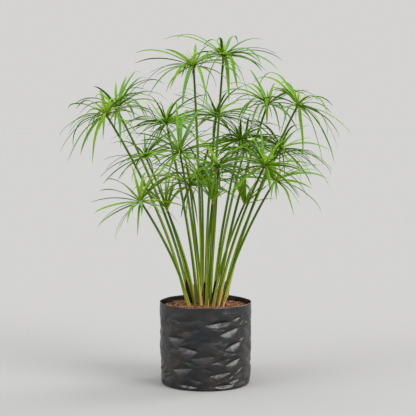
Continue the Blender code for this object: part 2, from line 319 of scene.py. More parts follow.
def add_object(name: str, built: bmesh.types.BMesh, material: bpy.types.Material) -> bpy.types.Object:
    """Turn a bmesh into an object of the scene.

    Args:
        name: The object's name, and its mesh's.
        built: Its shape. It is freed here.
        material: Its finish.

    Returns:
        The object.
    """
    mesh = bpy.data.meshes.new(name)
    built.to_mesh(mesh)
    built.free()
    mesh.materials.append(material)
    return link(bpy.data.objects.new(name, mesh))


def link(added: bpy.types.Object) -> bpy.types.Object:
    """Put an object in the scene and return it."""
    bpy.context.scene.collection.objects.link(added)
    return added


def turned(profile: Sequence[Span], steps: int) -> bmesh.types.BMesh:
    """Turn a profile about Z into a shape.

    Args:
        profile: Its (radius, height) points in mm, the first on the axis.
        steps: How many faces go round it.

    Returns:
        The shape, with its doubles merged.
    """
    built = bmesh.new()
    line = [built.verts.new((radius * MM, 0.0, height * MM)) for radius, height in profile]
    edges = [built.edges.new(pair) for pair in zip(line, line[1:])]
    bmesh.ops.spin(built, geom=line + edges, cent=(0, 0, 0), axis=(0, 0, 1), angle=math.tau,
                   steps=steps, use_merge=True)
    bmesh.ops.remove_doubles(built, verts=built.verts, dist=WELD)
    return built


def merged_copy(node: str) -> bmesh.types.BMesh:
    """Copy a CAD node's mesh with its loose triangles joined.

    Args:
        node: The node's name.

    Returns:
        The copy.
    """
    copy = bmesh.new()
    copy.from_mesh(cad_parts[node].data)
    bmesh.ops.remove_doubles(copy, verts=copy.verts, dist=WELD)
    return copy


class Recipe:
    """A node-based material while it is being put together."""

    FACTOR, FIRST, SECOND, MIXED = 0, 6, 7, 2

    def __init__(self, name: str) -> None:
        """Start with the plain shader.

        Args:
            name: The material's name.
        """
        self.material = bpy.data.materials.new(name)
        self.material.use_nodes = True
        self.tree = self.material.node_tree
        self.shader = self.tree.nodes["Principled BSDF"]

    def feed(self, target: Socket, value: object) -> None:
        """Link a socket to another, or set its value.

        Args:
            target: The socket.
            value: Another socket, a number, a direction or a colour.
        """
        if isinstance(value, Socket):
            self.tree.links.new(value, target)
        else:
            target.default_value = (*value, 1.0) if target.type == "RGBA" else value

    def run(self, kind: str, output: int | str, values: dict[int | str, object],
            **settings: object) -> Socket:
        """Add a node and feed it.

        Args:
            kind: The node's type.
            output: The wanted output's number or name.
            values: What its inputs get, by their numbers or names.
            settings: Its own properties.

        Returns:
            The output's socket.
        """
        made = self.tree.nodes.new(kind)
        for key, value in settings.items():
            setattr(made, key, value)
        for key, value in values.items():
            self.feed(made.inputs[key], value)
        return made.outputs[output]

    def place(self) -> Socket:
        """Return the object coordinates."""
        return self.run("ShaderNodeTexCoord", "Object", {})

    def attribute(self, name: str) -> Socket:
        """Return one of the piece's own values."""
        return self.run("ShaderNodeAttribute", "Fac", {}, attribute_name=name)

    def maths(self, operation: str, *values: object) -> Socket:
        """Return the result of a sum on up to three values."""
        return self.run("ShaderNodeMath", 0, dict(enumerate(values)), operation=operation)

    def join(self, x: object, y: object, z: object) -> Socket:
        """Return a vector made of three values."""
        return self.run("ShaderNodeCombineXYZ", 0, {0: x, 1: y, 2: z})

    def noise(self, where: Socket, scale: float, detail: float = 2.0, roughness: float = 0.5) -> Socket:
        """Return a noise value from 0 to 1 at a place."""
        return self.run("ShaderNodeTexNoise", "Fac", {"Vector": where, "Scale": scale,
                                                      "Detail": detail, "Roughness": roughness})

    def span(self, value: Socket, reach: Span, to: Span = (0.0, 1.0)) -> Socket:
        """Return a value mapped from one range to another, held at its ends."""
        return self.run("ShaderNodeMapRange", 0, dict(enumerate((value, *reach, *to))))

    def mix(self, factor: object, first: object, second: object, blend: str = "MIX") -> Socket:
        """Return two colours mixed by a factor."""
        values = {self.FACTOR: factor, self.FIRST: first, self.SECOND: second}
        return self.run("ShaderNodeMix", self.MIXED, values, data_type="RGBA", blend_type=blend)

    def shade(self, colour: object, factor: Socket) -> Socket:
        """Return a colour multiplied by a value."""
        return self.mix(1.0, colour, self.join(factor, factor, factor), "MULTIPLY")

    def bump(self, height: Socket, rise: float, strength: float, **under: Socket) -> Socket:
        """Return the normal of a raised pattern, over the one that is given as Normal."""
        values = {"Strength": strength, "Distance": rise, "Height": height, **under}
        return self.run("ShaderNodeBump", "Normal", values)

    def ramp(self, factor: Socket, *stops: tuple[float, Colour]) -> Socket:
        """Look up a colour on a ramp.

        Args:
            factor: The place on the ramp.
            stops: The ramp's positions and colours, in order.

        Returns:
            The colour's socket.
        """
        made = self.tree.nodes.new("ShaderNodeValToRGB")
        elements = made.color_ramp.elements
        for index, (position, colour) in enumerate(stops):
            element = elements[index] if index < 2 else elements.new(position)
            element.position = position
            element.color = (*colour, 1.0)
        self.feed(made.inputs["Fac"], factor)
        return made.outputs["Color"]

    def done(self, **values: object) -> bpy.types.Material:
        """Set the shader's sockets and hand over the material.

        Args:
            values: The sockets' values, by their names with underscores for spaces.

        Returns:
            The material.
        """
        for key, value in values.items():
            self.feed(self.shader.inputs[key.replace("_", " ")], value)
        return self.material


@dataclass(frozen=True)
class FilmFinish:
    """Black polythene film: satin, with fine stretch marks and clouds of brownish dust that partly stand
    in for a painted warm reflection.
    """

    colour: Colour = (0.0024, 0.0026, 0.0034)
    dust_and_painted_reflection: Colour = (0.0150, 0.0105, 0.0072)
    gloss: Colour = (0.94, 0.96, 1.0)
    specular: float = 0.55
    roughness: Span = (0.30, 0.47)

    def material(self) -> bpy.types.Material:
        """Put the film's material together.

        Returns:
            The material.
        """
        recipe = Recipe("Black polythene film")
        where = recipe.place()
        clouds = recipe.noise(where, scale=28, detail=4, roughness=0.6)
        marks = recipe.noise(where, scale=130, detail=5, roughness=0.62)
        grain = recipe.noise(where, scale=900, detail=3, roughness=0.6)
        normal = recipe.bump(marks, rise=0.9 * MM, strength=0.75)
        # The brown clouds are partly dust and partly a painted warm reflection.
        return recipe.done(
            Base_Color=recipe.mix(recipe.span(clouds, (0.43, 0.72)), self.colour, self.dust_and_painted_reflection),
            Roughness=recipe.span(clouds, (0.3, 0.75), self.roughness),
            Normal=recipe.bump(grain, rise=0.06 * MM, strength=0.5, Normal=normal),
            Specular_IOR_Level=self.specular, Specular_Tint=self.gloss)


@dataclass(frozen=True)
class MixFinish:
    """Reddish-brown potting mix: crumbly and damp in patches, its near-black tone partly dark mix and
    partly painted shade in the gaps between clods.
    """

    name: str
    dark: Colour = (0.012, 0.005, 0.003)
    middle: Colour = (0.125, 0.052, 0.022)
    light: Colour = (0.42, 0.20, 0.09)
    damp: Span = (0.68, 1.0)

    def material(self) -> bpy.types.Material:
        """Put the mix's material together.

        Returns:
            The material.
        """
        recipe = Recipe(self.name)
        where = recipe.place()
        clods = recipe.noise(where, scale=260, detail=5, roughness=0.65)
        # The dark stop is partly the mix's own dark and partly painted shade in the gaps between clods.
        colour = recipe.ramp(clods, (0.38, self.dark), (0.5, self.middle), (0.62, self.light))
        damp = recipe.span(recipe.noise(where, scale=34, detail=3), (0.35, 0.65), self.damp)
        grit = recipe.noise(where, scale=700, detail=4, roughness=0.7)
        return recipe.done(Base_Color=recipe.shade(colour, damp), Roughness=0.93,
                           Normal=recipe.bump(grit, rise=0.6 * MM, strength=0.9),
                           Specular_IOR_Level=0.25)


@dataclass(frozen=True)
class StemFinish:
    """Ribbed green stem: pale and yellowish at the foot, dark near its crown, with lit stripes."""

    foot: Colour = (0.33, 0.29, 0.07)
    low: Colour = (0.125, 0.165, 0.009)
    middle: Colour = (0.043, 0.112, 0.002)
    top: Colour = (0.012, 0.045, 0.001)
    lit: Colour = (0.28, 0.34, 0.010)
    lit_foot: Colour = (0.50, 0.41, 0.13)
    gloss: Colour = (0.85, 1.0, 0.40)
    mottle: Span = (0.55, 1.2)
    stripes_low_and_high: Span = (0.9, 0.25)

    def material(self) -> bpy.types.Material:
        """Put the stem's material together, which follows it by its along and around values.

        Returns:
            The material.
        """
        recipe = Recipe("Green stem")
        along, tint = recipe.attribute("along"), recipe.attribute("tint")
        x, y = recipe.attribute("across"), recipe.attribute("upper")
        colour = recipe.ramp(along, (0.0, self.foot), (0.045, self.low), (0.28, self.middle),
                             (0.72, self.middle), (0.97, self.top))
        own_stretch = recipe.maths("MULTIPLY_ADD", tint, 9.0, along)
        stripes = recipe.noise(recipe.join(x, y, own_stretch), scale=1.3)
        share = recipe.maths("MULTIPLY", recipe.span(stripes, (0.49, 0.60)),
                             recipe.span(along, (0.3, 0.85), self.stripes_low_and_high))
        lit = recipe.mix(recipe.span(along, (0.03, 0.2)), self.lit_foot, self.lit)
        colour = recipe.mix(share, colour, lit)
        short = recipe.join(x, y, recipe.maths("MULTIPLY", along, 4.0))
        patches = recipe.noise(short, scale=2.2, detail=3)
        colour = recipe.shade(colour, recipe.span(patches, (0.3, 0.7), self.mottle))
        long = recipe.join(x, y, recipe.maths("MULTIPLY", along, 0.6))
        ribs = recipe.noise(long, scale=16)
        return recipe.done(Base_Color=colour, Roughness=0.5,
                           Normal=recipe.bump(ribs, rise=0.25 * MM, strength=0.5),
                           Specular_IOR_Level=0.14, Specular_Tint=self.gloss,
                           Subsurface_Weight=0.10, Subsurface_Scale=1.5 * MM,
                           Subsurface_Radius=(0.5, 1.0, 0.15))


@dataclass(frozen=True)
class BractFinish:
    """Bracts: deep to yellowish green by their own tint, veined, some with a painted bluish sheen on the
    upper face.
    """

    deep: Colour = (0.024, 0.086, 0.001)
    fresh: Colour = (0.082, 0.188, 0.002)
    yellow: Colour = (0.235, 0.335, 0.005)
    painted_blue_sheen: Colour = (0.058, 0.165, 0.046)
    gloss: Colour = (0.85, 1.0, 0.40)
    straw: Colour = (0.42, 0.33, 0.10)
    veins: float = 11.0
    vein_share: float = 0.09
    midrib: Span = (0.35, 0.0)
    near_hub_and_past: Span = (0.24, -0.02)
    painted_sheen: float = 0.85
    ripe_tip: Span = (0.25, 0.9)

    def material(self) -> bpy.types.Material:
        """Put the bracts' material together, which follows each blade by its own values.

        Returns:
            The material.
        """
        recipe = Recipe("Green bract")
        along, across = recipe.attribute("along"), recipe.attribute("across")
        upper, tint = recipe.attribute("upper"), recipe.attribute("tint")
        clouds = recipe.noise(recipe.place(), scale=38)
        shade = recipe.maths("ADD", tint, recipe.span(clouds, (0.3, 0.7), (-0.08, 0.08)))
        shade = recipe.maths("ADD", shade, recipe.span(along, (0.0, 0.3), self.near_hub_and_past))
        colour = recipe.ramp(shade, (0.0, self.deep), (0.45, self.fresh), (1.0, self.yellow))
        # Painted sheen: the upper faces of some bracts take a bluish colour that stands in for a
        # reflection of the sky.
        chance = recipe.maths("FRACT", recipe.maths("MULTIPLY", tint, 37.0))
        painted_sheen = recipe.maths("MULTIPLY", recipe.span(upper, (0.0, 1.0), (0.0, self.painted_sheen)),
                            recipe.span(chance, (0.55, 0.85)))
        colour = recipe.mix(painted_sheen, colour, self.painted_blue_sheen)
        veins = recipe.maths("SINE", recipe.maths("MULTIPLY", across, self.veins * math.pi))
        pale = recipe.span(veins, (-1.0, 1.0), (0.0, self.vein_share))
        colour = recipe.mix(pale, colour, self.yellow)
        rib = recipe.span(recipe.maths("ABSOLUTE", across), (0.0, 0.16), self.midrib)
        colour = recipe.mix(rib, colour, self.yellow)
        ripe = recipe.maths("MULTIPLY", recipe.span(along, (0.9, 1.0)),
                            recipe.span(tint, (0.3, 0.9), self.ripe_tip))
        return recipe.done(Base_Color=recipe.mix(ripe, colour, self.straw), Roughness=0.5,
                           Normal=recipe.bump(veins, rise=0.10 * MM, strength=0.3),
                           Specular_IOR_Level=0.10, Specular_Tint=self.gloss,
                           Subsurface_Weight=0.22, Subsurface_Scale=1.2 * MM,
                           Subsurface_Radius=(0.6, 1.0, 0.1))


@dataclass(frozen=True)
class SheathFinish:
    """Dry papery sheath: pink tan to dark reddish brown by its own tint, with long fibres."""

    pale: Colour = (0.55, 0.34, 0.15)
    brown: Colour = (0.12, 0.046, 0.014)
    dark: Colour = (0.012, 0.005, 0.002)

    def material(self) -> bpy.types.Material:
        """Put the sheaths' material together.

        Returns:
            The material.
        """
        recipe = Recipe("Papery sheath")
        along, across, tint = (recipe.attribute(name) for name in ("along", "across", "tint"))
        lengthwise = recipe.join(recipe.maths("MULTIPLY", across, 6.0), tint, along)
        fibres = recipe.noise(lengthwise, scale=6, detail=4, roughness=0.6)
        shade = recipe.maths("ADD", tint, recipe.span(fibres, (0.3, 0.7), (-0.22, 0.22)))
        colour = recipe.ramp(shade, (0.1, self.pale), (0.5, self.brown), (0.8, self.dark))
        return recipe.done(Base_Color=colour, Roughness=0.8, Specular_IOR_Level=0.08,
                           Normal=recipe.bump(fibres, rise=0.3 * MM, strength=0.7))


@dataclass(frozen=True)
class JointFinish:
    """The small orange-brown joint between a stem and its crown."""

    orange: Colour = (0.38, 0.20, 0.02)
    brown: Colour = (0.15, 0.09, 0.02)

    def material(self) -> bpy.types.Material:
        """Put the joints' material together.

        Returns:
            The material.
        """
        recipe = Recipe("Orange joint")
        blotch = recipe.noise(recipe.place(), scale=420, detail=3, roughness=0.6)
        colour = recipe.ramp(blotch, (0.35, self.brown), (0.6, self.orange))
        return recipe.done(Base_Color=colour, Roughness=0.6, Specular_IOR_Level=0.1,
                           Normal=recipe.bump(blotch, rise=0.15 * MM, strength=0.6))


@dataclass(frozen=True)
class FloorFinish:
    """The plain pale studio floor."""

    colour: Colour = (0.248, 0.248, 0.257)

    def material(self) -> bpy.types.Material:
        """Return the floor's material."""
        return Recipe("Pale floor").done(Base_Color=self.colour, Roughness=0.9,
                                         Specular_IOR_Level=0.0)


@dataclass(frozen=True)
class Dent:
    """A lens-shaped pocket in the film, deepest along its crease.

    The turn is in degrees from the front towards the right, and the tilt raises its right end.
    The rest is in mm: the crease's height, half its length, how far the pocket goes above and
    below the crease, and its depth.
    """

    turn: float
    height: float
    half_length: float
    above: float
    below: float
    depth: float
    tilt: float = 0.0

    OUTLINE = 1.25
    NARROWING = 0.85
    SHALLOWING = 0.5
    FADE_ABOVE = 1.3
    FADE_BELOW = 2.9

    def depths(self, turns: np.ndarray, heights: np.ndarray, radius: float) -> np.ndarray:
        """Work out how deep the pocket is at many places of the film.

        Args:
            turns: Their turns from the front, in degrees.
            heights: Their heights, in mm.
            radius: The bag's radius, in mm.

        Returns:
            The depths, in mm.
        """
        apart = (turns - self.turn + 180.0) % 360.0 - 180.0
        u = np.radians(apart) * radius
        w = heights - self.height
        lean = math.radians(self.tilt)
        x = np.abs(u * math.cos(lean) + w * math.sin(lean)) / self.half_length
        y = w * math.cos(lean) - u * math.sin(lean)
        lens = np.clip(1.0 - x**self.OUTLINE, 0.0, 1.0)
        reach = np.where(y > 0, self.above, self.below) * lens**self.NARROWING + 1e-6
        fade = np.where(y > 0, self.FADE_ABOVE, self.FADE_BELOW)
        wall = np.clip(1.0 - np.abs(y) / reach, 0.0, 1.0) ** fade
        return self.depth * lens**self.SHALLOWING * wall


@dataclass
class GrowBag:
    """The black grow bag: a thin crumpled film, open at the top, with a pleated foot.

    Its measures are in mm and its turns in degrees from the front.
    """

    film: float = 0.45
    foot_round: float = 5.0
    foot_steps: int = 9
    foot_hold: float = 7.0
    base_radius: float = 69.0
    taper: float = 1.6
    fullness: float = 1.2
    steps_round: int = 312
    steps_up: int = 134
    pleats: int = 17
    pleat_depth: float = 1.6
    pleat_height: float = 16.0
    pleat_foot: float = 3.0
    slack: float = 1.3
    slack_size: float = 27.0
    creases: float = 0.42
    crease_size: float = 21.0
    fine_creases: float = 0.11
    fine_size: float = 8.0
    wrinkle_squash: float = 1.5
    hem: float = 16.0
    hem_hold: float = 0.75
    rim_band: float = 9.0
    rim_wave: float = 1.1
    rim_lift: float = 0.3
    rim_wavelength: float = 30.0
    front_dents: tuple[Dent, ...] = (
        Dent(16, 110, 21, 7, 22, 5.0, 7), Dent(32, 96, 18, 11, 18, 4.2, 16),
        Dent(37, 72, 18, 10, 22, 5.0, 19), Dent(38, 46, 17, 10, 16, 4.4, 17),
        Dent(19, 27, 19, 14, 14, 3.6, 8), Dent(39, 14, 13, 6, 14, 4.0, 12),
        Dent(36, 22, 8, 4, 8, 2.4, 25), Dent(25, 8, 19, 9, 14, 3.8, 2),
        Dent(41, 116, 9, 4, 10, 2.8, 14), Dent(52, 110, 11, 5, 14, 2.8, 32),
        Dent(50, 82, 9, 4, 10, 2.2, 20), Dent(47, 30, 15, 7, 14, 2.8, 28),
        Dent(65, 113, 11, 5, 14, 2.4, 40), Dent(-42, 114, 14, 3, 14, 2.4, -14),
        Dent(-40, 84, 19, 11, 30, 5.2, 0), Dent(-23, 68, 18, 11, 28, 4.6, -9),
        Dent(-3, 55, 20, 13, 30, 3.8, 7), Dent(-31, 35, 19, 12, 30, 4.6, 8),
        Dent(-22, 8, 17, 10, 16, 3.8, -4), Dent(-14, 18, 14, 16, 10, 1.8, -13),
        Dent(2, 36, 12, 5, 22, 1.8, -20), Dent(-61, 58, 17, 9, 20, 2.8, -20),
        Dent(-55, 103, 11, 8, 20, 2.4, -45), Dent(-60, 23, 15, 8, 20, 2.6, 12),
    )
    net_rows: int = 9
    net_columns: int = 15
    net_length: float = 17.0
    net_depth: Span = (1.0, 3.4)
    net_size: Span = (0.65, 1.4)
    net_seed: int = 5
    side_turn: float = 112.0
    side_share: float = 0.6
    smooth_turn: float = 15.0
    smooth_share: float = 0.2

    def __post_init__(self) -> None:
        """Take the bag's size from its CAD solid."""
        low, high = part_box("grow_bag")
        self.height = high.z / MM
        self.rim_radius = (high.x - low.x) / 2 / MM
        self.foot_radius = self.rim_radius - self.taper

    def profile(self) -> list[Span]:
        """Lay out the undented outside, from the base's middle to the rim.

        Returns:
            Its (radius, height) points.
        """
        points = [(self.base_radius * share, 0.0) for share in (0.0, 0.5, 0.85)]
        for step in range(self.foot_steps + 1):
            angle = math.pi / 2 * step / self.foot_steps
            reach = self.base_radius + (self.foot_radius - self.base_radius) * math.sin(angle)
            points.append((reach, self.foot_round * (1 - math.cos(angle))))
        wall = self.height - self.foot_round
        for step in range(1, self.steps_up + 1):
            share = step / self.steps_up
            radius = self.foot_radius + (self.rim_radius - self.foot_radius) * share
            points.append((radius, self.foot_round + wall * share))
        return points

    def dents(self) -> list[Dent]:
        """List the front's dents and a staggered net of seeded ones, faint at the front.

        Returns:
            The dents.
        """
        draw = random.Random(self.net_seed).uniform
        found = list(self.front_dents)
        for row in range(self.net_rows):
            for column in range(self.net_columns):
                share = (column + 0.5 * (row % 2)) / self.net_columns
                turn = 360 * share - 180 + draw(-11, 11)
                height = 7 + (self.height - 26) * row / (self.net_rows - 1) + draw(-6, 6)
                size = draw(*self.net_size)
                depth = draw(*self.net_depth) * size
                if abs(turn) < self.side_turn:
                    depth *= self.smooth_share if abs(turn) < self.smooth_turn else self.side_share
                found.append(Dent(turn, height, self.net_length * size, draw(6, 10) * size,
                                  draw(16, 24) * size, depth, draw(-32, 32)))
        return found

    def inward(self, turns: np.ndarray, heights: np.ndarray) -> np.ndarray:
        """Work out how far dents and pleats take the film in.

        Args:
            turns: The places' turns.
            heights: Their heights.

        Returns:
            The distances.
        """
        pockets = np.zeros_like(turns)
        for dent in self.dents():
            pockets = np.maximum(pockets, dent.depths(turns, heights, self.rim_radius))
        pleat = np.abs(np.mod(turns * self.pleats / 360.0, 1.0) * 2 - 1)
        foot = np.clip(1 - heights / self.pleat_height, 0.0, 1.0)
        foot *= np.clip(heights / self.pleat_foot, 0.0, 1.0)
        return pockets + self.pleat_depth * foot * np.clip(pleat * 2.2 - 1.2, 0.0, 1.0)

    def wrinkle(self, place: Vector) -> float:
        """Work out the fine wrinkling of the film: its slack, its creases and its finest ones.

        Args:
            place: A place on the film, in metres.

        Returns:
            How far the film lies inwards there, in mm.
        """
        spot = Vector((place.x, place.y, place.z * self.wrinkle_squash)) / MM
        slack = noise.noise(spot / self.slack_size) * self.slack
        creases = noise.ridged_multi_fractal(spot / self.crease_size, 0.9, 2.1, 3, 1.0, 2.0)
        finest = noise.ridged_multi_fractal(spot / self.fine_size, 0.9, 2.1, 2, 1.0, 2.0)
        return slack + self.creases * creases + self.fine_creases * finest

    def crumple(self, vert: bmesh.types.BMVert, depth: float) -> None:
        """Move a point of the wall to its place on the crumpled film.

        Args:
            vert: The point.
            depth: How far dents and pleats take it in.
        """
        height = vert.co.z / MM
        hem = smooth(height, self.height - self.hem, self.height)
        held = smooth(height, 0.0, self.foot_hold) * (1.0 - self.hem_hold * hem)
        inwards = (depth - self.fullness) * held + max(self.wrinkle(vert.co) * held, -1.0)
        reach = math.hypot(vert.co.x, vert.co.y)
        vert.co -= Vector((vert.co.x, vert.co.y, 0.0)) * (inwards * MM / reach)
        rim = smooth(height, self.height - self.rim_band, self.height)
        wave = noise.noise(vert.co / (self.rim_wavelength * MM)) * self.rim_wave
        vert.co.z += rim * (wave + self.rim_lift) * MM

    def build(self, material: bpy.types.Material) -> bpy.types.Object:
        """Build the bag.

        Args:
            material: The film's finish.

        Returns:
            The bag's object.
        """
        built = turned(self.profile(), self.steps_round)
        places = np.array([vert.co for vert in built.verts]) / MM
        turns = np.degrees(np.arctan2(places[:, 0], -places[:, 1]))
        limit = self.base_radius * 0.9 * MM
        for vert, depth in zip(built.verts, self.inward(turns, places[:, 2])):
            if math.hypot(vert.co.x, vert.co.y) >= limit:
                self.crumple(vert, depth)
        bag = add_piece("grow_bag_film", built, material, Slot.BAG, "grow_bag")
        shell = bag.modifiers.new("Film", "SOLIDIFY")
        shell.thickness = self.film * MM
        shell.offset = -1.0
        return bag


@dataclass
class PottingMix:
    """The potting mix: a lumpy mound under loose crumbs and coir fibres. Lengths are in mm."""

    edge_fall: float = 3.0
    mound_radius: float = 40.0
    wall_gap: float = 1.4
    rim_gap: float = 0.2
    step_in: float = 8.0
    step_down: float = 12.0
    step_up: float = 14.0
    lump: float = 1.3
    lump_size: float = 11.0
    clod_share: float = 0.8
    clod_size: float = 4.5
    rings: int = 44
    steps_round: int = 144
    crumbs: int = 5200
    crumb_sizes: tuple[float, ...] = (0.45, 0.6, 0.8, 0.8, 1.0, 1.2, 1.5, 2.1)
    batch: int = 100
    fibres: int = 170
    fibre_radius: float = 0.22
    fibre_length: Span = (4, 11)
    fibre_gap: float = 9.0
    seed: int = 23

    def __post_init__(self) -> None:
        """Take the mix's size from its CAD solid."""
        low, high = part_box("soil")
        self.top = high.z / MM
        self.floor = low.z / MM
        self.radius = (high.x - low.x) / 2 / MM

    def surface(self, x: float, y: float) -> float:
        """Work out the height of the mix at a place.

        Args:
            x: How far the place is to the right.
            y: How far it is to the back.

        Returns:
            The height.
        """
        share = smooth(math.hypot(x, y), self.mound_radius * 0.8, self.radius)
        lumps = noise.fractal(Vector((x, y, 3.0)) / self.lump_size, 0.8, 2.2, 4) * self.lump
        clods = max(noise.noise(Vector((x, y, 9.0)) / self.clod_size), 0.0) * self.lump * self.clod_share
        return self.top - self.edge_fall * share + lumps + clods - 0.5 * self.lump

    def build_mound(self, material: bpy.types.Material) -> bpy.types.Object:
        """Build the body of the mix, which fills the bag.

        Args:
            material: Its finish.

        Returns:
            Its object.
        """
        rim = self.radius - self.rim_gap
        inner = self.radius - self.step_in
        profile = [(rim * ring / self.rings, self.top) for ring in range(self.rings + 1)]
        profile += [(inner, self.top - self.step_down), (inner, self.floor + self.step_up),
                    (inner - self.step_in, self.floor), (0.0, self.floor)]
        built = turned(profile, self.steps_round)
        for vert in built.verts:
            if vert.co.z > (self.top - 1) * MM:
                vert.co.z = self.surface(vert.co.x / MM, vert.co.y / MM) * MM
        return add_piece("potting_mix", built, material, Slot.MIX, "soil")

    @staticmethod
    def spots(chooser: random.Random, count: int, radius: float) -> Iterable[Span]:
        """Spread places evenly over the mix.

        Args:
            chooser: Draws them.
            count: How many there are.
            radius: How far out they go.

        Yields:
            Their x and y.
        """
        for _ in range(count):
            reach = radius * math.sqrt(chooser.random())
            turn = chooser.uniform(0, math.tau)
            yield reach * math.cos(turn), reach * math.sin(turn)

    def crumb(self, chooser: random.Random, x: float, y: float) -> Matrix:
        """Draw the place, turn and shape of a crumb.

        Args:
            chooser: Draws them.
            x: How far its spot is to the right.
            y: How far it is to the back.

        Returns:
            The matrix of a ball of a millimetre's radius.
        """
        draw = chooser.uniform
        size = chooser.choice(self.crumb_sizes) * draw(0.8, 1.2)
        axis = heading_vector(draw(0, math.tau), 0.4)
        turn = Matrix.Rotation(draw(0, math.tau), 4, axis)
        shape = Matrix.Diagonal((size * draw(1.0, 1.7), size, size * draw(0.6, 1.0), 1.0))
        spot = Vector((x, y, self.surface(x, y) + size * 0.3)) * MM
        return Matrix.Translation(spot) @ turn @ shape

    def build_crumbs(self, material: bpy.types.Material) -> bpy.types.Object:
        """Build the loose crumbs on the mound as one piece, a batch at a time.

        Args:
            material: Their finish.

        Returns:
            Their object.
        """
        chooser = random.Random(self.seed)
        built = bmesh.new()
        batch_mesh = bpy.data.meshes.new("crumb_batch")
        spots = list(self.spots(chooser, self.crumbs, self.radius - self.wall_gap))
        for start in range(0, len(spots), self.batch):
            batch = bmesh.new()
            for x, y in spots[start:start + self.batch]:
                bmesh.ops.create_icosphere(batch, subdivisions=1, radius=MM,
                                           matrix=self.crumb(chooser, x, y))
            batch.to_mesh(batch_mesh)
            batch.free()
            built.from_mesh(batch_mesh)
        bpy.data.meshes.remove(batch_mesh)
        crumbs = add_piece("loose_crumbs", built, material, Slot.MIX)
        crumbs.data.shade_flat()
        return crumbs

    def build_fibres(self, material: bpy.types.Material) -> bpy.types.Object:
        """Build the loose coir fibres as one piece.

        Args:
            material: Their finish.

        Returns:
            Their object.
        """
        chooser = random.Random(self.seed + 1)
        tissue = Tissue()
        for x, y in self.spots(chooser, self.fibres, self.radius - self.fibre_gap):
            heading = chooser.uniform(0, math.tau)
            length = chooser.uniform(*self.fibre_length)
            start = Vector((x, y, self.surface(x, y) + 0.4))
            middle = start + heading_vector(heading) * length / 2 + UP * chooser.uniform(0.3, 1.5)
            end = middle + heading_vector(heading + chooser.uniform(-0.9, 0.9)) * length / 2
            end.z = self.surface(end.x, end.y) + 0.3
            path = Path([start * MM, middle * MM, end * MM])
            tissue.add_round(path, lambda share: self.fibre_radius * MM, 6, 5, chooser.random())
        return tissue.finish("coir_fibres", material, Slot.MIX)


@dataclass(frozen=True)
class Sheath:
    """A dry sheath at a stem's foot.

    The side it faces in degrees from the front towards the right, how far it goes round the stem
    in degrees, its height and the flare of its tip in mm, and its shade from tan to dark brown.
    """

    turn: float
    wrap: float
    height: float
    flare: float
    tint: float

    RINGS = 12
    CORNERS = 10
    FOOT = 3.0
    SKIN = 0.3
    GAP = 0.35
    RIPPLE = 0.25
    EDGE = 0.98
    CLOSED = 0.999

    def add_to(self, tissue: Tissue, path: Path, radius: Callable[[float], float]) -> None:
        """Add the sheath to the skins of all sheaths.

        Args:
            tissue: Those skins.
            path: The middle line of the stem that it wraps.
            radius: Gives the stem's radius at a share of that line.
        """
        start = self.FOOT * MM / path.length
        end = start + self.height * MM / path.length
        level = heading_vector(math.radians(self.turn - 90))
        stations = path.stations(ring_shares(self.RINGS, start, end), lambda share: level)

        def section(index: int, around: float) -> Spot:
            """Work out a spot of the sheath: round its outer face, back along its inner one.

            Args:
                index: The station's number.
                around: The share of the way round.

            Returns:
                The spot.
            """
            step = round(around * 2 * self.CORNERS)
            outer = step <= self.CORNERS
            across = (step if outer else 2 * self.CORNERS - step) / self.CORNERS * 2 - 1
            along = stations[index].along
            rise = min(max((along - start) / (end - start), 0.0), 1.0)
            closed = index in (0, len(stations) - 1)
            if closed:
                across *= self.CLOSED
            angle = math.radians(self.wrap) / 2 * (1.0 - rise**1.7) ** 0.7 * across
            loose = self.GAP + self.flare * rise**2.0 + self.RIPPLE * math.sin(angle * 3 + self.turn)
            skin = 0.0 if closed or not outer or abs(across) > self.EDGE else self.SKIN
            reach = radius(along) + loose * MM + skin * MM
            return Spot(reach * math.cos(angle), reach * math.sin(angle), across, rise)

        tissue.wrap(stations, 2 * self.CORNERS, section, self.tint)

    @classmethod
    def drawn(cls, name: str) -> tuple["Sheath", ...]:
        """Draw the one or two sheaths of a stem whose own ones the front doesn't show.

        Args:
            name: The stem's name, which seeds them.

        Returns:
            The sheaths.
        """
        chooser = random.Random("sheath " + name)
        ranges = ((-180, 180), (180, 250), (16, 42), (0.4, 1.5), (0.3, 0.9))
        return tuple(cls(*(chooser.uniform(*span) for span in ranges))
                     for _ in range(chooser.choice((1, 2))))


SHEATHS = {
    "front_right": (Sheath(58, 100, 30, 0.5, 0.04),),
    "right_low": (Sheath(66, 110, 22, 2.6, 0.06),),
    "young_right": (Sheath(70, 90, 34, 0.4, 0.30), Sheath(170, 150, 26, 0.5, 0.8)),
    "front_middle": (Sheath(150, 180, 26, 0.6, 0.8),),
    "front_left": (Sheath(64, 80, 20, 0.4, 0.05), Sheath(170, 150, 24, 0.4, 0.7)),
    "young_middle": (Sheath(60, 70, 16, 0.4, 0.16), Sheath(150, 160, 34, 0.6, 0.7)),
    "young_left": (Sheath(160, 170, 22, 0.6, 0.6),),
    "left_low": (Sheath(170, 150, 18, 0.5, 0.5),),
    "top_left": (Sheath(60, 200, 30, 0.7, 0.6),),
    "middle_left": (Sheath(-20, 200, 40, 0.8, 0.85),),
    "left_inner": (Sheath(30, 200, 44, 1.0, 0.85),),
    "middle_right": (Sheath(10, 220, 40, 0.8, 0.9), Sheath(60, 160, 24, 1.0, 0.7)),
    "rear_middle_low": (Sheath(0, 220, 32, 0.8, 0.85),),
    "rear_right_inner": (Sheath(-20, 200, 36, 0.8, 0.8),),
}

# How far some stems are swayed to the right, in mm, so that they part as they do from the front.
SWAYS = {"front_middle": 2.7, "young_middle": -1.6, "top_right": 0.9, "rear_middle_high": -3.4,
         "left_outer": 1.5, "left_low": -0.9, "middle_left": -1.2, "top_left": 0.9,
         "rear_middle_low": 2.6}


